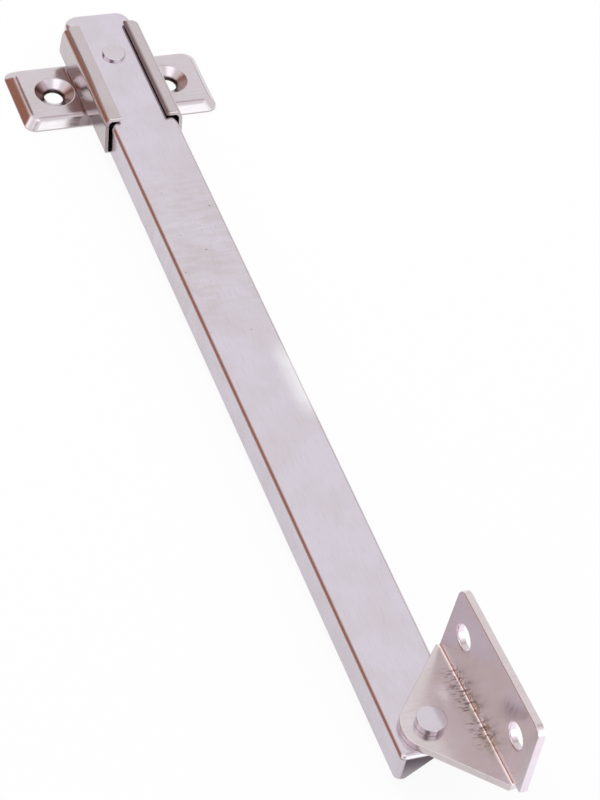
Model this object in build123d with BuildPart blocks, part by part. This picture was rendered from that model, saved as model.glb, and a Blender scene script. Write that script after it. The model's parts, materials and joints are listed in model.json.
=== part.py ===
from build123d import *
import math
import os

# Sliding lid stay of nickel-plated pressed steel. A channel rail slides through a folded housing,
# the housing turns on a cross plate, and an angle bracket turns on the far end of the rail.
# Millimetres. +X runs along the rail towards the bracket, +Z is up off the surface that the cross
# plate is screwed to, and the origin is the foot of the housing's pivot on that surface.

# Clearances
turning_gap = 0.05      # between flat faces that turn on each other
bore_gap = 0.05         # radial, round a rivet that something turns on
sliding_gap = 0.10      # between the rail's edges and the housing's floor

# Mounting plate
plate_length = 42.0
plate_width = 17.9
plate_height = 2.1
plate_sheet = 0.9
foot_edge = 0.35        # upright cut edge below the skirt
skirt_run = 1.6         # how far the bevelled skirt spreads between top and foot
foot_radius = 2.3       # plan corners of the skirt's foot
top_radius = 2.2        # plan corners of the flat top
crease_radius = 1.8
hollow_radius = 1.0
rim_radius = 0.5        # round the dishes' mouths
screw_spacing = 25.0
screw_hole = 3.9
countersink = 8.4
countersink_angle = 112.0
throat_radius = 0.5     # where the dish rolls over into the hole
dish_wall = 0.9

# Slider housing
housing_far = -10.7
lip_length = 28.6
housing_flare = 2.5     # the near end slopes out by this much from the lips down to the floor
housing_width = 16.6
housing_sheet = 0.7
lip_bend = 1.6          # outside radius of the folds between walls and lips
floor_bend = 1.4        # outside radius of the folds between walls and floor
lip_gap = 9.8           # open slot between the two lips
lip_clearance = 0.35    # lip above the rail's top
far_foot_corner = 2.2   # radius of the walls' lower corners, seen from the side
near_foot_corner = 1.1
lip_corner = 0.4        # radius of the lips' ends, seen from the side
run_out = 2.0           # radius that takes the corner off each lip fold at the far end
run_out_inset = 0.2     # of that radius, in from where wall and lip would meet sharply

# Rail
rail_far = -15.0
rail_length = 195.5
rail_width = 14.2
rail_height = 6.1
rail_sheet = 0.9
rail_bend = 1.2         # outside radius
rail_far_corner = 3.0   # upright corners of the far end
ear_base = 5.3          # half width of the notch between the two end ears, at their foot

# End bracket
bracket_x = 175.3
bracket_sheet = 1.4
nose_radius = 5.5
fold_half = 16.0        # half length of the fold
fold_y = 9.0            # inside face of the upright leaf
fold_ledge = 2.1        # straight ends of the flat leaf, in from the fold's outside face
leaf_overhang = 2.2     # upright leaf past the fold, at the rail's near end
leaf_height = 16.7      # above the flat leaf
leaf_lean = 0.6         # how far each end of the upright leaf leans in from foot to top
leaf_step = 0.2         # foot of the overhang, above the flat leaf
leaf_corner = 2.2
overhang_corner = 0.7
leaf_hole = 4.8
leaf_hole_spacing = 22.0
leaf_hole_shift = 0.9   # middle of the two holes, beyond the rivet
leaf_hole_height = 8.8
edge_roll = 0.25        # rolled rim of the blank, on the side the punch came from
hole_roll = 0.4
fold_inside = 0.35
fold_outside = 1.5
bracket_turn = 2.0      # degrees the bracket stands turned on its rivet

# Rivets and washers
pivot_shank = 3.6
pivot_head = 6.4
pivot_head_height = 0.9
pivot_tail = 6.0
pivot_tail_height = 0.7
pivot_washer_size = 6.8
pivot_washer_sheet = 0.25
pivot_washer_rise = 0.12
pivot_washer_gap = 0.03
stop_x = -1.9
stop_shank = 2.6
stop_head = 4.8
stop_head_height = 0.6
stop_sleeve_size = 4.4
stop_sleeve_height = 2.6
stop_tail = 3.8
stop_tail_height = 0.6
bracket_shank = 3.4
bracket_head = 5.6
bracket_head_height = 1.5
bracket_tail = 5.4
bracket_tail_height = 0.8
bracket_washer_size = 7.4
bracket_washer_height = 0.6
head_edge = 0.2

# Brake inside the channel
block_length = 15.4
block_side_gap = 0.3
block_ramp = 1.6        # chamfer that leads the rail over the block
block_edge = 0.5
pocket_gap = 0.3        # between the block and the pivot rivet's head
spigot_x = 10.5
spigot = 3.6
spring_sheet = 0.3
spring_rise = 0.6
spring_length = 11.6
spring_width = 7.0

# Levels, from the mounting surface up
floor_under = plate_height + turning_gap
floor_top = floor_under + housing_sheet
rail_foot = floor_top + sliding_gap
rail_top = rail_foot + rail_height
rail_under = rail_top - rail_sheet
housing_top = rail_top + lip_clearance + housing_sheet
leaf_under = rail_top + turning_gap
leaf_top = leaf_under + bracket_sheet

rail_near = rail_far + rail_length
housing_near = housing_far + lip_length + housing_flare
stop_face = stop_x + stop_sleeve_size / 2
block_far = stop_face + turning_gap
block_foot = floor_top + spring_rise + spring_sheet


def upright_plane(x):
    """Plane that stands across the axis at x: local X is +X and local Y is +Z."""
    return Plane(origin=(x, 0, 0), x_dir=(1, 0, 0), z_dir=(0, -1, 0))


def turned(x, outline, edge=0.0):
    """Round piece about a vertical axis at x, from its (radius, height) outline."""
    with BuildPart() as piece:
        with BuildSketch(upright_plane(x)):
            with BuildLine():
                Polyline(*outline, close=True)
            make_face()
        revolve(axis=Axis((x, 0, 0), (0, 0, 1)))
        if edge:
            fillet(piece.edges().filter_by(GeomType.CIRCLE).group_by(Axis.Z)[-1], edge)
    return piece.part


def riveted(x, levels, tail, shank, head, edge):
    """Rivet at x. levels: tail end, tail seat, head seat, head top; the rest are diameters."""
    tail_end, tail_seat, head_seat, head_top = levels
    outline = [
        (0, tail_end), (tail / 2, tail_end), (tail / 2, tail_seat), (shank / 2, tail_seat),
        (shank / 2, head_seat), (head / 2, head_seat), (head / 2, head_top), (0, head_top),
    ]
    return turned(x, outline, edge)


def ring(x, bore, size, foot, height):
    """Flat ring or sleeve at x, from its bore and outside diameters."""
    outline = [
        (bore / 2, foot), (size / 2, foot), (size / 2, foot + height), (bore / 2, foot + height)
    ]
    return turned(x, outline)


def bowed_strip(x, foot, length, width, rise, sheet):
    """Strip along X with its middle at x, bowed upwards, its two ends down at foot."""
    with BuildPart() as strip:
        with BuildSketch(upright_plane(x)):
            with BuildLine():
                ThreePointArc((-length / 2, foot), (0, foot + rise), (length / 2, foot))
                Line((length / 2, foot), (length / 2, foot + sheet))
                ThreePointArc(
                    (length / 2, foot + sheet), (0, foot + rise + sheet), (-length / 2, foot + sheet)
                )
                Line((-length / 2, foot + sheet), (-length / 2, foot))
            make_face()
        extrude(amount=width / 2, both=True)
    return strip.part


def keep(part, name):
    """Label a finished piece and write its STEP file."""
    part.label = name
    export_step(part, f"parts/{name}.step")


os.makedirs("parts", exist_ok=True)

# Mounting plate: a shallow pressed tray, mouth down, with a bevelled skirt and two dished holes
skirt_slope = skirt_run / (plate_height - foot_edge)
skirt_wall = plate_sheet * math.hypot(1, skirt_slope)
hollow_height = plate_height - plate_sheet
dish_foot = screw_hole / 2 + dish_wall
dish_slope = math.tan(math.radians(countersink_angle / 2))
dish_height = plate_height - plate_sheet / 2
with BuildPart() as mounting_plate:
    with BuildSketch(Plane.XY):
        RectangleRounded(plate_width, plate_length, foot_radius)
    extrude(amount=foot_edge)
    with BuildSketch(Plane.XY.offset(foot_edge)):
        RectangleRounded(plate_width, plate_length, foot_radius)
    with BuildSketch(Plane.XY.offset(plate_height)):
        RectangleRounded(plate_width - 2 * skirt_run, plate_length - 2 * skirt_run, top_radius)
    loft()
    fillet(mounting_plate.faces().sort_by(Axis.Z)[-1].edges(), crease_radius)
    for level in (0, hollow_height):
        inset = 2 * (skirt_wall + level * skirt_slope)
        with BuildSketch(Plane.XY.offset(level)):
            RectangleRounded(plate_width - inset, plate_length - inset, hollow_radius)
    loft(mode=Mode.SUBTRACT)
    with GridLocations(0, screw_spacing, 1, 2):
        Cone(
            dish_foot, dish_foot + dish_height * dish_slope, dish_height,
            align=(Align.CENTER, Align.CENTER, Align.MIN),
        )
    with BuildSketch(Plane.XY.offset(dish_height)):
        Circle(pivot_shank / 2)
    extrude(amount=plate_height, both=True, mode=Mode.SUBTRACT)
    with Locations(Plane.XY.offset(plate_height)):
        with GridLocations(0, screw_spacing, 1, 2):
            CounterSinkHole(
                screw_hole / 2, countersink / 2, depth=2 * plate_height,
                counter_sink_angle=countersink_angle,
            )
    circles = mounting_plate.edges().filter_by(GeomType.CIRCLE)
    fillet(circles.filter_by(lambda edge: math.isclose(edge.radius, countersink / 2)), rim_radius)
    throats = mounting_plate.edges().filter_by(GeomType.CIRCLE).filter_by(
        lambda edge: math.isclose(edge.radius, screw_hole / 2)
    )
    fillet(throats.group_by(Axis.Z)[-1], throat_radius)
keep(mounting_plate.part, "mounting_plate")

# Slider housing: one folded strip, floor, two walls and two lips
housing_height = housing_top - floor_under
run_out_reach = (housing_width / 2 + housing_top) / math.sqrt(2) - run_out_inset
with BuildPart() as slider_housing:
    with BuildSketch(Plane.YZ.offset(housing_far)):
        with Locations((0, floor_under + housing_height / 2)):
            Rectangle(housing_width, housing_height)
        fillet(vertices().group_by(Axis.Y)[0], floor_bend)
        fillet(vertices().group_by(Axis.Y)[-1], lip_bend)
        offset(amount=-housing_sheet, mode=Mode.SUBTRACT)
        with Locations((0, housing_top)):
            Rectangle(lip_gap, 3 * housing_sheet, mode=Mode.SUBTRACT)
    extrude(amount=lip_length + housing_flare)
    with BuildSketch(upright_plane(0).offset(-housing_width)):
        with BuildLine():
            Polyline(
                (housing_far, floor_under), (housing_far, housing_top),
                (housing_near - housing_flare, housing_top), (housing_near, floor_under),
                close=True,
            )
        make_face()
        fillet(vertices().group_by(Axis.Y)[-1], lip_corner)
        fillet(vertices().group_by(Axis.Y)[0].sort_by(Axis.X)[0], far_foot_corner)
        fillet(vertices().group_by(Axis.Y)[0].sort_by(Axis.X)[-1], near_foot_corner)
    extrude(amount=2 * housing_width, mode=Mode.INTERSECT)
    for side in (-1, 1):
        diagonal = Plane(origin=(0, 0, 0), x_dir=(1, 0, 0), z_dir=(0, -1, side))
        with BuildSketch(diagonal.offset(-housing_width)):
            with Locations((housing_far, run_out_reach)):
                Rectangle(
                    housing_near - housing_far, 2 * housing_width,
                    align=(Align.MIN, Align.MAX),
                )
            fillet(vertices().group_by(Axis.Y)[-1].sort_by(Axis.X)[0], run_out)
        extrude(amount=2 * housing_width, mode=Mode.INTERSECT)
    with BuildSketch(Plane.XY.offset(floor_under)):
        Circle(pivot_shank / 2 + bore_gap)
        with Locations((spigot_x, 0)):
            Circle(spigot / 2)
    extrude(amount=housing_sheet, mode=Mode.SUBTRACT)
keep(slider_housing.part, "slider_housing")

# Rail: a channel, mouth down, whose walls wrap round each end as two ears
with BuildPart() as rail:
    with Locations((rail_far, 0, rail_foot)):
        Box(rail_length, rail_width, rail_height, align=(Align.MIN, Align.CENTER, Align.MIN))
    fillet(rail.edges().filter_by(Axis.Z).group_by(Axis.X)[0], rail_far_corner)
    near_uprights = rail.edges().filter_by(Axis.Z).group_by(Axis.X)[-1]
    fillet(near_uprights + rail.faces().sort_by(Axis.Z)[-1].edges(), rail_bend)
    offset(amount=-rail_sheet, openings=rail.faces().sort_by(Axis.Z)[0])
    with BuildSketch(Plane.YZ.offset(rail_far)):
        with BuildLine():
            Polyline(
                (-ear_base, rail_foot), (0, rail_under), (ear_base, rail_foot), close=True
            )
        make_face()
    extrude(amount=rail_length, mode=Mode.SUBTRACT)
    with BuildSketch(Plane.XY.offset(rail_under)):
        with Locations((stop_x, 0)):
            Circle(stop_shank / 2)
        with Locations((bracket_x, 0)):
            Circle(bracket_shank / 2)
    extrude(amount=rail_sheet, mode=Mode.SUBTRACT)
keep(rail.part, "rail")

# End bracket: a flat leaf with a round nose, folded up into a longer upright leaf
fold_outer = fold_y + bracket_sheet
far_edge = bracket_x - fold_half
fold_near = bracket_x + fold_half
near_edge = fold_near + leaf_overhang
leaf_heel = leaf_top + leaf_step
leaf_crest = leaf_top + leaf_height
with BuildPart() as end_bracket:
    with BuildSketch(Plane.XY.offset(leaf_under)):
        with Locations((bracket_x, 0)):
            Circle(nose_radius)
        with Locations((bracket_x, fold_outer)):
            Rectangle(2 * fold_half, fold_ledge, align=(Align.CENTER, Align.MAX))
        make_hull()
    extrude(amount=bracket_sheet)
    with BuildSketch(Plane.XZ.offset(-fold_outer)):
        with BuildLine():
            Polyline(
                (far_edge, leaf_under), (far_edge, leaf_heel), (far_edge + leaf_lean, leaf_crest),
                (near_edge - leaf_lean, leaf_crest), (near_edge, leaf_heel),
                (fold_near, leaf_heel), (fold_near, leaf_under), close=True,
            )
        make_face()
        fillet(vertices().group_by(Axis.Y)[-1], leaf_corner)
        fillet(vertices().group_by(Axis.Y)[1].sort_by(Axis.X)[-1], overhang_corner)
    extrude(amount=bracket_sheet)
    flat_rim = end_bracket.faces().filter_by_position(Axis.Z, leaf_top, leaf_top)[0].edges()
    upright_rim = end_bracket.faces().filter_by_position(Axis.Y, fold_y, fold_y)[0].edges()
    fillet(flat_rim + upright_rim - (flat_rim & upright_rim), edge_roll)
    fold_line = end_bracket.edges().filter_by(Axis.X).filter_by_position(Axis.Z, leaf_top, leaf_top)
    fillet(fold_line.sort_by(Axis.Y)[-1], fold_inside)
    outside = end_bracket.edges().filter_by(Axis.X).group_by(Axis.Z)[0]
    fillet(outside.sort_by(Axis.Y)[-1], fold_outside)
    with BuildSketch(Plane.XZ.offset(-fold_outer)):
        with Locations((bracket_x + leaf_hole_shift, leaf_top + leaf_hole_height)):
            with GridLocations(leaf_hole_spacing, 0, 2, 1):
                Circle(leaf_hole / 2)
    extrude(amount=bracket_sheet, mode=Mode.SUBTRACT)
    rims = end_bracket.edges().filter_by(GeomType.CIRCLE).filter_by_position(Axis.Y, fold_y, fold_y)
    fillet(rims.filter_by(lambda edge: math.isclose(edge.radius, leaf_hole / 2)), hole_roll)
    with BuildSketch(Plane.XY.offset(leaf_under)):
        with Locations((bracket_x, 0)):
            Circle(bracket_shank / 2 + bore_gap)
    extrude(amount=bracket_sheet, mode=Mode.SUBTRACT)
keep(end_bracket.part.rotate(Axis((bracket_x, 0, 0), (0, 0, 1)), bracket_turn), "end_bracket")

# Pivot rivet and its curved spring washer: they turn with the plate, the housing between them
pivot_seat = floor_top + pivot_washer_gap + pivot_washer_rise + pivot_washer_sheet
pivot_top = pivot_seat + pivot_head_height
plate_under = plate_height - plate_sheet
pivot_levels = plate_under - pivot_tail_height, plate_under, pivot_seat, pivot_top
keep(riveted(0, pivot_levels, pivot_tail, pivot_shank, pivot_head, head_edge), "pivot_rivet")

washer_foot = floor_top + pivot_washer_gap
washer_blank = bowed_strip(
    0, washer_foot, pivot_washer_size, pivot_washer_size, pivot_washer_rise, pivot_washer_sheet
)
with BuildPart() as pivot_washer:
    add(washer_blank)
    with BuildSketch(Plane.XY.offset(floor_top)):
        Circle(pivot_washer_size / 2)
        Circle(pivot_shank / 2, mode=Mode.SUBTRACT)
    extrude(amount=housing_height, mode=Mode.INTERSECT)
keep(pivot_washer.part, "pivot_washer")

# Stop rivet through the rail's top, and the sleeve on its shank that meets the brake block
sleeve_foot = rail_under - stop_sleeve_height
stop_levels = sleeve_foot - stop_tail_height, sleeve_foot, rail_top, rail_top + stop_head_height
keep(riveted(stop_x, stop_levels, stop_tail, stop_shank, stop_head, head_edge), "stop_rivet")
keep(ring(stop_x, stop_shank, stop_sleeve_size, sleeve_foot, stop_sleeve_height), "stop_sleeve")

# Bracket rivet, clinched over a washer inside the channel
washer_under = rail_under - bracket_washer_height
head_seat = leaf_top + turning_gap
bracket_levels = (
    washer_under - bracket_tail_height, washer_under, head_seat, head_seat + bracket_head_height
)
keep(
    riveted(bracket_x, bracket_levels, bracket_tail, bracket_shank, bracket_head, head_edge),
    "bracket_rivet",
)
keep(
    ring(bracket_x, bracket_shank, bracket_washer_size, washer_under, bracket_washer_height),
    "bracket_washer",
)

# Brake block: it fills the channel, pocketed for the pivot rivet, with a spigot in the floor
block_width = rail_width - 2 * rail_sheet - 2 * block_side_gap
block_top = rail_under - turning_gap
with BuildPart() as brake_block:
    with Locations((block_far, 0, block_foot)):
        Box(
            block_length, block_width, block_top - block_foot,
            align=(Align.MIN, Align.CENTER, Align.MIN),
        )
    lead_in = brake_block.faces().sort_by(Axis.Z)[-1].edges().sort_by(Axis.X)[-1]
    chamfer(lead_in, block_ramp)
    chamfer(brake_block.edges().filter_by(Axis.X).group_by(Axis.Z)[-1], block_edge)
    with Locations((0, 0, block_foot)):
        Cylinder(
            pivot_head / 2 + pocket_gap, pivot_top + pocket_gap - block_foot,
            align=(Align.CENTER, Align.CENTER, Align.MIN), mode=Mode.SUBTRACT,
        )
    with Locations((spigot_x, 0, floor_under)):
        Cylinder(
            spigot / 2, block_foot - floor_under, align=(Align.CENTER, Align.CENTER, Align.MIN)
        )
keep(brake_block.part, "brake_block")

# Brake spring: a bowed leaf on the housing's floor, round the block's spigot
spring_blank = bowed_strip(
    spigot_x, floor_top, spring_length, spring_width, spring_rise, spring_sheet
)
with BuildPart() as brake_spring:
    add(spring_blank)
    with BuildSketch(Plane.XY.offset(floor_top)):
        with Locations((spigot_x, 0)):
            Circle(spigot / 2 + bore_gap)
    extrude(amount=spring_rise + spring_sheet, mode=Mode.SUBTRACT)
keep(brake_spring.part, "brake_spring")
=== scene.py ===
import json
import math
import bpy
from mathutils import Matrix, Vector


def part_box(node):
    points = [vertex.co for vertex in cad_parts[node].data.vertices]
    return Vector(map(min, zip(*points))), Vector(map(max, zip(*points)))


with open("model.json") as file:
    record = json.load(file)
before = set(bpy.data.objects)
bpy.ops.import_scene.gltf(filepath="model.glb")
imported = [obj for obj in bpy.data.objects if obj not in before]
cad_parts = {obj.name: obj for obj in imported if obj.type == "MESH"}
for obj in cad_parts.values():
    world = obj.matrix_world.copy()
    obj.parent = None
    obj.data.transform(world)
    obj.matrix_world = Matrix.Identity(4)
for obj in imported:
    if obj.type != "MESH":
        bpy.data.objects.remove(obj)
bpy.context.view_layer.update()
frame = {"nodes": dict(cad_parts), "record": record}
nodes = frame["nodes"]
MM = 0.001
WHITE = (1.0, 1.0, 1.0, 1.0)
UP = (0, 0, 1)


# ---------------------------------------------------------------- shader helpers

class Graph:
    """Short calls that add nodes to one node tree and join them."""

    def __init__(self, tree):
        self.tree = tree
        tree.nodes.clear()

    def node(self, kind, **settings):
        made = self.tree.nodes.new(kind)
        for key, value in settings.items():
            setattr(made, key, value)
        return made

    def join(self, value, socket):
        if isinstance(value, bpy.types.NodeSocket):
            self.tree.links.new(value, socket)
        else:
            socket.default_value = value

    def math(self, operation, a, b=0.0):
        made = self.node("ShaderNodeMath", operation=operation)
        self.join(a, made.inputs[0])
        self.join(b, made.inputs[1])
        return made.outputs[0]

    def vector(self, operation, a, b=(0, 0, 0)):
        made = self.node("ShaderNodeVectorMath", operation=operation)
        self.join(a, made.inputs[0])
        self.join(b, made.inputs[1])
        return made.outputs["Value" if operation in ("DOT_PRODUCT", "LENGTH") else 0]

    def along(self, place, axis, start=0.0):
        """How far place lies along a unit axis, from start, in millimetres."""
        metres = self.math("SUBTRACT", self.vector("DOT_PRODUCT", place, axis), start * MM)
        return self.math("DIVIDE", metres, MM)

    def ramp(self, value, low, high, out_low=0.0, out_high=1.0):
        """Smooth step of value, from out_low at low to out_high at high."""
        made = self.node("ShaderNodeMapRange", interpolation_type="SMOOTHSTEP")
        for number, socket in zip((value, low, high, out_low, out_high), made.inputs):
            self.join(number, socket)
        return made.outputs[0]

    def band(self, value, low, high, soft):
        """1 between low and high, falling to 0 over soft outside them."""
        rise = self.ramp(value, low - soft, low)
        fall = self.ramp(value, high, high + soft, 1.0, 0.0)
        return self.math("MULTIPLY", rise, fall)

    def noise(self, place, stretch, detail=3.0):
        """Noise with the given number of features per metre along X, Y and Z."""
        made = self.node("ShaderNodeTexNoise")
        self.join(self.vector("MULTIPLY", place, stretch), made.inputs["Vector"])
        made.inputs["Scale"].default_value = 1.0
        made.inputs["Detail"].default_value = detail
        return made.outputs[0]

    def mix(self, factor, a, b, blend="MIX"):
        made = self.node("ShaderNodeMix", data_type="RGBA", blend_type=blend)
        self.join(factor, made.inputs[0])
        self.join(a, made.inputs[6])
        self.join(b, made.inputs[7])
        return made.outputs[2]

    def bump(self, height, strength, depth, shader):
        """Relief of the given depth in millimetres on a shader's normal."""
        made = self.node("ShaderNodeBump")
        made.inputs["Strength"].default_value = strength
        made.inputs["Distance"].default_value = depth * MM
        self.join(height, made.inputs["Height"])
        self.join(made.outputs[0], shader.inputs["Normal"])

    def finish(self, shader):
        out = self.node("ShaderNodeOutputMaterial")
        self.join(shader.outputs[0], out.inputs[0])


# ---------------------------------------------------------------- world and stage

def towards(azimuth, elevation):
    """Unit vector, azimuth from +X towards +Y, in degrees."""
    a, e = math.radians(azimuth), math.radians(elevation)
    return math.cos(a) * math.cos(e), math.sin(a) * math.cos(e), math.sin(e)


ROOM = (0.75, 0.75, 0.75, 1)
# What the metal mirrors round the table, later rows over earlier ones:
# (azimuth, elevation, radius, softness) in degrees, and the colour.
SURROUNDINGS = [
    (-136, 31, 9, 8, (0.70, 0.52, 0.46, 1)),
    (-127, 8, 23, 8, (0.41, 0.18, 0.115, 1)),
    (-108, 7, 15, 7, (0.38, 0.17, 0.105, 1)),
    (126, 3, 7, 6, (0.5, 0.38, 0.33, 1)),
    (118, 67, 7, 6, (0.62, 0.52, 0.54, 1)),
    (58, 45, 9, 4, (1.5, 1.47, 1.5, 1)),
    (-111, 46, 12, 5, (1.5, 1.47, 1.47, 1)),
    (-78, 36, 11, 8, (1.5, 1.4, 1.45, 1)),
    (-28, 68, 12, 8, (1.8, 1.75, 1.8, 1)),
    (-31, 46, 13, 3, (0.22, 0.16, 0.15, 1)),
    (25, 27, 18, 10, (1.6, 1.7, 1.65, 1)),
]


def make_world():
    """White to the camera, plain grey light on the stay, and the surroundings to mirrors."""
    world = bpy.data.worlds.new("studio")
    bpy.context.scene.world = world
    world.use_nodes = True
    g = Graph(world.node_tree)
    direction = g.vector("NORMALIZE", g.node("ShaderNodeTexCoord").outputs["Generated"])
    colour = WHITE
    for azimuth, elevation, radius, softness, shade in SURROUNDINGS:
        near = g.vector("DOT_PRODUCT", direction, towards(azimuth, elevation))
        outer = math.cos(math.radians(radius + softness))
        inner = math.cos(math.radians(radius - softness))
        colour = g.mix(g.ramp(near, outer, inner), colour, shade)
    path = g.node("ShaderNodeLightPath")
    plain = g.math("MAXIMUM", path.outputs["Is Camera Ray"], path.outputs["Is Transmission Ray"])
    shown = g.mix(path.outputs["Is Glossy Ray"], ROOM, colour)
    background = g.node("ShaderNodeBackground")
    g.join(g.mix(plain, shown, WHITE), background.inputs["Color"])
    out = g.node("ShaderNodeOutputWorld")
    g.join(background.outputs[0], out.inputs[0])


FLOOR_SIZE = 6
CENTRE_X = 0.09
PAPER = (0.93, 0.93, 0.93, 1)
CAMERA_GLOW = 0.93
MIRROR_GLOW = 0.45


def make_floor():
    """White paper that glows to the camera and to mirrors, and still takes a faint shadow."""
    bpy.ops.mesh.primitive_plane_add(size=FLOOR_SIZE, location=(CENTRE_X, 0, -0.1 * MM))
    floor = bpy.context.object
    floor.name = "floor"
    paper = bpy.data.materials.new("paper")
    paper.use_nodes = True
    g = Graph(paper.node_tree)
    lit = g.node("ShaderNodeBsdfDiffuse")
    lit.inputs["Color"].default_value = PAPER
    glow = g.node("ShaderNodeEmission")
    path = g.node("ShaderNodeLightPath")
    mixed = g.node("ShaderNodeMixShader")
    seen = g.math("MULTIPLY", path.outputs["Is Camera Ray"], CAMERA_GLOW)
    mirrored = g.math("MULTIPLY", path.outputs["Is Glossy Ray"], MIRROR_GLOW)
    g.join(g.math("ADD", seen, mirrored), mixed.inputs[0])
    g.join(lit.outputs[0], mixed.inputs[1])
    g.join(glow.outputs[0], mixed.inputs[2])
    g.finish(mixed)
    floor.data.materials.append(paper)


def make_card(name, place, normal, width, depth, shade):
    """Plain card that only mirrors see."""
    bpy.ops.mesh.primitive_plane_add(size=1, location=place)
    card = bpy.context.object
    card.name = name
    card.scale = (width, depth, 1)
    card.rotation_euler = Vector(normal).to_track_quat("Z", "Y").to_euler()
    card.visible_camera = False
    card.visible_diffuse = False
    card.visible_shadow = False
    paint = bpy.data.materials.new(name)
    paint.use_nodes = True
    g = Graph(paint.node_tree)
    glow = g.node("ShaderNodeEmission")
    glow.inputs["Color"].default_value = shade
    g.finish(glow)
    card.data.materials.append(paint)


def make_lamp(name, azimuth, elevation, distance, size, power):
    """Round lamp aimed at the stay, with no highlight of its own."""
    lamp = bpy.data.lights.new(name, "AREA")
    lamp.shape = "DISK"
    lamp.size = size
    lamp.energy = power
    body = bpy.data.objects.new(name, lamp)
    body.visible_glossy = False
    target = Vector((CENTRE_X, 0, 0))
    body.location = target + Vector(towards(azimuth, elevation)) * distance
    body.rotation_euler = (target - body.location).to_track_quat("-Z", "Y").to_euler()
    bpy.context.scene.collection.objects.link(body)


def make_camera():
    """Camera turned about its own axis, its focal length in the frame's own small units."""
    azimuth, elevation, roll = -0.5449, 0.8015, 0.2589  # radians
    distance, focal, frame_height = 0.63198, 3275.09, 800
    target = Vector((0.089858, 0.00932, 0))
    away = Vector(towards(math.degrees(azimuth), math.degrees(elevation)))
    right = (-away).cross(Vector((0, 0, 1))).normalized()
    up = right.cross(-away)
    across = right * math.cos(roll) + up * math.sin(roll)
    upward = up * math.cos(roll) - right * math.sin(roll)
    turn = Matrix((across, upward, away)).transposed()
    lens = bpy.data.cameras.new("camera")
    lens.lens = focal / frame_height * lens.sensor_width
    camera = bpy.data.objects.new("camera", lens)
    camera.matrix_world = Matrix.Translation(target + away * distance) @ turn.to_4x4()
    bpy.context.scene.collection.objects.link(camera)
    bpy.context.scene.camera = camera


# ---------------------------------------------------------------- materials

def begin(name):
    """New material, its graph, and the place on the piece in metres from the CAD origin."""
    material = bpy.data.materials.new(name)
    material.use_nodes = True
    g = Graph(material.node_tree)
    return material, g, g.node("ShaderNodeTexCoord").outputs["Object"]


def streaks_of(g, place, grain):
    """Straight brushing, with grain lines per millimetre along X, Y and Z."""
    return g.noise(place, tuple(n / MM for n in grain), 4.0)


def turning_of(g, place, centre):
    """Tool marks that run round a turned piece's upright axis."""
    axis = (centre[0], centre[1], 0)
    out = g.vector("SUBTRACT", g.vector("MULTIPLY", place, (1, 1, 0)), axis)
    return g.noise(g.vector("LENGTH", out), (6000, 6000, 6000), 2.0)


def edge_wear_and_highlight(g):
    """Mask of edges sharper than a fifth of a millimetre, for plating wear and a painted edge highlight.
    """
    rounded = g.node("ShaderNodeBevel", samples=4)
    rounded.inputs["Radius"].default_value = 0.2 * MM
    normal = g.node("ShaderNodeNewGeometry").outputs["Normal"]
    return g.ramp(g.vector("DOT_PRODUCT", rounded.outputs[0], normal), 0.8, 0.99, 1.0, 0.0)


def plated(name, tint, roughness, grain, marks=(), centre=None):
    """Plated steel. marks: functions of (graph, place) that return a mask and the colour that
    it multiplies by. centre: for a turned piece, the axis that its tool marks run round."""
    material, g, place = begin(name)
    streaks = turning_of(g, place, centre) if centre else streaks_of(g, place, grain)
    clouds = g.ramp(g.noise(place, (110, 110, 110)), 0.35, 0.7)
    red, green, blue = tint
    colour = g.mix(clouds, (red, green, blue, 1), (0.95 * red, 0.94 * green, 0.91 * blue, 1))
    colour = g.mix(g.ramp(streaks, 0.5, 0.8), colour, (0.93, 0.92, 0.91, 1), "MULTIPLY")
    for mark in marks:
        mask, factor = mark(g, place)
        colour = g.mix(mask, colour, factor, "MULTIPLY")
    edge = edge_wear_and_highlight(g)
    # Edges brightened: part plating wear, part painted highlight.
    colour = g.mix(edge, colour, (1.12, 1.12, 1.12, 1), "MULTIPLY")
    metal = g.node("ShaderNodeBsdfPrincipled")
    metal.inputs["Metallic"].default_value = 1.0
    g.join(colour, metal.inputs["Base Color"])
    satin = g.ramp(streaks, 0.3, 0.7, roughness * 0.8, roughness * 1.2)
    g.join(g.math("ADD", satin, g.math("MULTIPLY", edge, 0.06)), metal.inputs["Roughness"])
    g.bump(streaks, 0.06, 0.02, metal)
    g.finish(metal)
    return material


def smudge(g, place):
    """Handling marks on the rail's top, between a fifth and two fifths of the way along."""
    x = g.along(place, (1, 0, 0))
    cloth = g.noise(place, (900, 260, 260))
    mask = g.math("MULTIPLY", g.band(x, 42, 66, 14), g.ramp(cloth, 0.3, 0.7))
    return mask, (0.93, 0.92, 0.88, 1)


def pits(g, place):
    """A few pinholes in the plating along the same stretch."""
    x = g.along(place, (1, 0, 0))
    grit = g.noise(place, (1300, 1300, 1300), 1.0)
    mask = g.math("MULTIPLY", g.band(x, 40, 90, 6), g.ramp(grit, 0.78, 0.81))
    return mask, (0.4, 0.33, 0.3, 1)


def painted_glint(g, place):
    """Painted highlight: a bright glint on the rail's edge, ahead of the smudge."""
    x, y = g.along(place, (1, 0, 0)), g.along(place, (0, 1, 0))
    mask = g.math("MULTIPLY", g.band(x, 88, 96, 8), g.ramp(y, 2.5, 6.5))
    return mask, (1.3, 1.36, 1.28, 1)


def from_screw(g, place):
    """Distance from the nearer screw hole's axis, in millimetres."""
    x = g.along(place, (1, 0, 0))
    y = g.math("SUBTRACT", g.math("ABSOLUTE", g.along(place, (0, 1, 0))), SCREW_SPACING / 2)
    squared = g.math("ADD", g.math("MULTIPLY", x, x), g.math("MULTIPLY", y, y))
    return g.math("SQRT", squared)


def painted_bore_shade(g, place):
    """Painted shade in the throats of the plate's two screw holes."""
    return g.ramp(from_screw(g, place), 2.05, 2.55, 1.0, 0.0), (0.12, 0.09, 0.09, 1)


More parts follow.
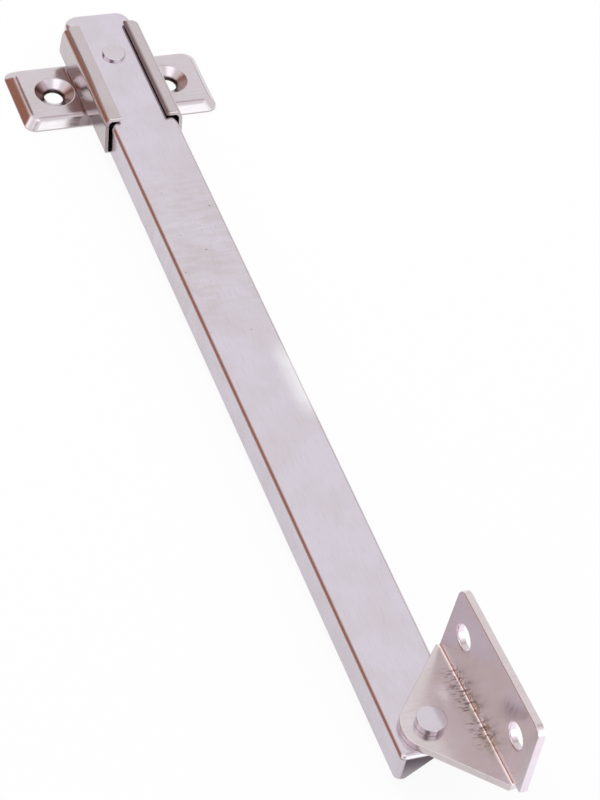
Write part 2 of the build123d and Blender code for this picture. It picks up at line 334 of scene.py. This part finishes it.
def painted_dish_reflection(g, place):
    """Painted brown reflection on the flanks of the two countersinks."""
    normal = g.node("ShaderNodeTexCoord").outputs["Normal"]
    flank = g.math("ABSOLUTE", g.vector("DOT_PRODUCT", normal, (0.2, 1, 0)))
    mask = g.math("MULTIPLY", g.ramp(flank, 0.3, 0.55), g.ramp(from_screw(g, place), 4.1, 4.3, 1.0, 0.0))
    return mask, (0.5, 0.36, 0.32, 1)


def bracket_place(g, place):
    """Along the fold, and the two distances from it: over the flat leaf and up the upright one."""
    turn = math.radians(BRACKET_TURN)
    rest = g.vector("SUBTRACT", place, (BRACKET_X * MM, 0, 0))
    u = g.along(rest, (math.cos(turn), math.sin(turn), 0))
    back = g.math("SUBTRACT", FOLD_Y, g.along(rest, (-math.sin(turn), math.cos(turn), 0)))
    rise = g.along(rest, UP, LEAF_TOP)
    return u, back, rise


def fold_grime(g, place):
    """Dark flecks and streaks either side of the fold."""
    u, back, rise = bracket_place(g, place)
    away = g.math("MAXIMUM", back, rise)
    flecks = g.noise(place, (3400, 900, 1100), 4.0)
    mask = g.math("MULTIPLY", g.ramp(flecks, 0.5, 0.62), g.ramp(away, 0.6, 4.0, 1.0, 0.0))
    return g.math("MULTIPLY", mask, g.band(u, -8, 6, 4)), (0.38, 0.31, 0.30, 1)


def fold_stain(g, place):
    """Olive heat stain on the upright leaf, near the middle of the fold."""
    u, _, rise = bracket_place(g, place)
    blot = g.noise(place, (400, 400, 400), 3.0)
    mask = g.math("MULTIPLY", g.band(rise, 0.3, 1.2, 2.0), g.ramp(blot, 0.35, 0.6))
    mask = g.math("MULTIPLY", mask, g.ramp(rise, 0.1, 0.3))
    return g.math("MULTIPLY", mask, g.band(u, 0, 6, 4)), (0.80, 0.74, 0.58, 1)


def painted_fold_highlight(g, place):
    """Painted highlight: a bright line along the bend."""
    _, back, rise = bracket_place(g, place)
    near = g.ramp(g.math("MAXIMUM", back, rise), 0.3, 0.75, 1.0, 0.0)
    return near, (1.4, 1.42, 1.42, 1)


def painted_end_highlight(g, place):
    """Painted highlight on the end faces and hole walls of the bracket's upright leaf."""
    turn = math.radians(BRACKET_TURN)
    _, _, rise = bracket_place(g, place)
    normal = g.node("ShaderNodeTexCoord").outputs["Normal"]
    facing = g.vector("DOT_PRODUCT", normal, (math.cos(turn), math.sin(turn), 0))
    end = g.ramp(g.math("ABSOLUTE", facing), 0.3, 0.8)
    return g.math("MULTIPLY", end, g.ramp(rise, 0.2, 0.8)), (1.5, 1.45, 1.6, 1)


def painted_lip_gap_shade(g, place):
    """Painted shade on the inner edges of the housing's two lips, along their gap over the rail, with a
    wider band on the right lip.
    """
    normal = g.node("ShaderNodeTexCoord").outputs["Normal"]
    facing = g.math("ABSOLUTE", g.vector("DOT_PRODUCT", normal, (0, 1, 0)))
    across = g.math("ABSOLUTE", g.along(place, (0, 1, 0)))
    edge_face_shade = g.math("MULTIPLY", g.ramp(facing, 0.5, 0.8), g.ramp(across, 5.6, 6.0, 1.0, 0.0))
    y = g.along(place, (0, 1, 0))
    band = g.math("MULTIPLY", g.ramp(y, 5.0, 5.9, 1.0, 0.0), g.ramp(y, 4.0, 4.5))
    return g.math("MAXIMUM", edge_face_shade, band), (0.30, 0.20, 0.19, 1)


def painted_channel_shade(g, place):
    """Painted shade on the rail's inside faces, darkest under its top."""
    across = g.math("ABSOLUTE", g.along(place, (0, 1, 0)))
    inside = g.ramp(across, RAIL_INSIDE - 0.2, RAIL_INSIDE + 0.1, 1.0, 0.0)
    height = g.along(place, UP)
    deep = g.math("MULTIPLY", inside, g.ramp(height, 3.0, 8.2, 0.35, 1.0))
    return g.math("MULTIPLY", deep, g.ramp(height, 8.3, 8.5, 1.0, 0.0)), (0.22, 0.19, 0.20, 1)


def nylon(name):
    """Natural nylon with a moulded, faintly mottled skin."""
    material, g, place = begin(name)
    flow = g.noise(place, (500, 500, 500), 4.0)
    plastic = g.node("ShaderNodeBsdfPrincipled")
    g.join(g.mix(flow, (0.83, 0.82, 0.77, 1), (0.74, 0.73, 0.68, 1)), plastic.inputs["Base Color"])
    g.join(g.ramp(flow, 0.3, 0.7, 0.38, 0.5), plastic.inputs["Roughness"])
    g.bump(g.noise(place, (5000, 5000, 5000), 2.0), 0.2, 0.03, plastic)
    g.finish(plastic)
    return material


def middle(name):
    """X and Y of a piece's middle, in metres."""
    low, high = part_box(name)
    return (low[0] + high[0]) / 2, (low[1] + high[1]) / 2


# ---------------------------------------------------------------- the stay

# Millimetres and degrees, in the CAD frame
SCREW_SPACING = frame["record"]["mounts"][0]["dims"]["spacing_y_mm"]
BRACKET_TURN = 2.0
BRACKET_X = middle("bracket_rivet")[0] / MM
FOLD_Y = 9.0
LEAF_TOP = 10.5
RAIL_INSIDE = 6.2
# Nickel tints and the lengthwise brushing of rolled strip
LAVENDER = (0.64, 0.58, 0.62)
VIOLET = (0.67, 0.615, 0.69)
BEIGE = (0.575, 0.51, 0.53)
SPRING_GREY = (0.42, 0.40, 0.41)
ALONG = (0.3, 4, 4)
BROWN = (0.50, 0.32, 0.26, 1)
DULL_BROWN = (0.36, 0.22, 0.19, 1)

make_world()
make_floor()
make_card("table_card", (CENTRE_X, -0.33, 0.0002), UP, 1.6, 0.6, BROWN)
make_card("wing_card", (-0.028, -0.0233, 0.034), towards(-149, 46), 0.018, 0.018, DULL_BROWN)
make_lamp("key", -160, 45, 1.2, 0.35, 5)
make_camera()
finishes = {
    "mounting_plate": plated("plate_nickel", LAVENDER, 0.19, (4, 0.3, 4), [painted_bore_shade, painted_dish_reflection]),
    "slider_housing": plated("housing_nickel", BEIGE, 0.19, ALONG, [painted_lip_gap_shade]),
    "rail": plated("rail_nickel", VIOLET, 0.18, ALONG, [smudge, pits, painted_glint, painted_channel_shade]),
    "end_bracket": plated("bracket_nickel", (0.69, 0.62, 0.645), 0.22, (2.5, 0.25, 0.25),
                          [fold_stain, fold_grime, painted_fold_highlight, painted_end_highlight]),
    "brake_block": nylon("nylon"),
    "brake_spring": plated("spring_steel", SPRING_GREY, 0.28, ALONG),
    "pivot_washer": plated("washer_steel", SPRING_GREY, 0.28, ALONG),
}
for name, node in nodes.items():
    if name not in finishes:
        finishes[name] = plated(name + "_nickel", (0.655, 0.60, 0.66), 0.1, ALONG, centre=middle(name))
    node.data.materials.clear()
    node.data.materials.append(finishes[name])

scene = bpy.context.scene
scene.view_settings.view_transform = "Standard"
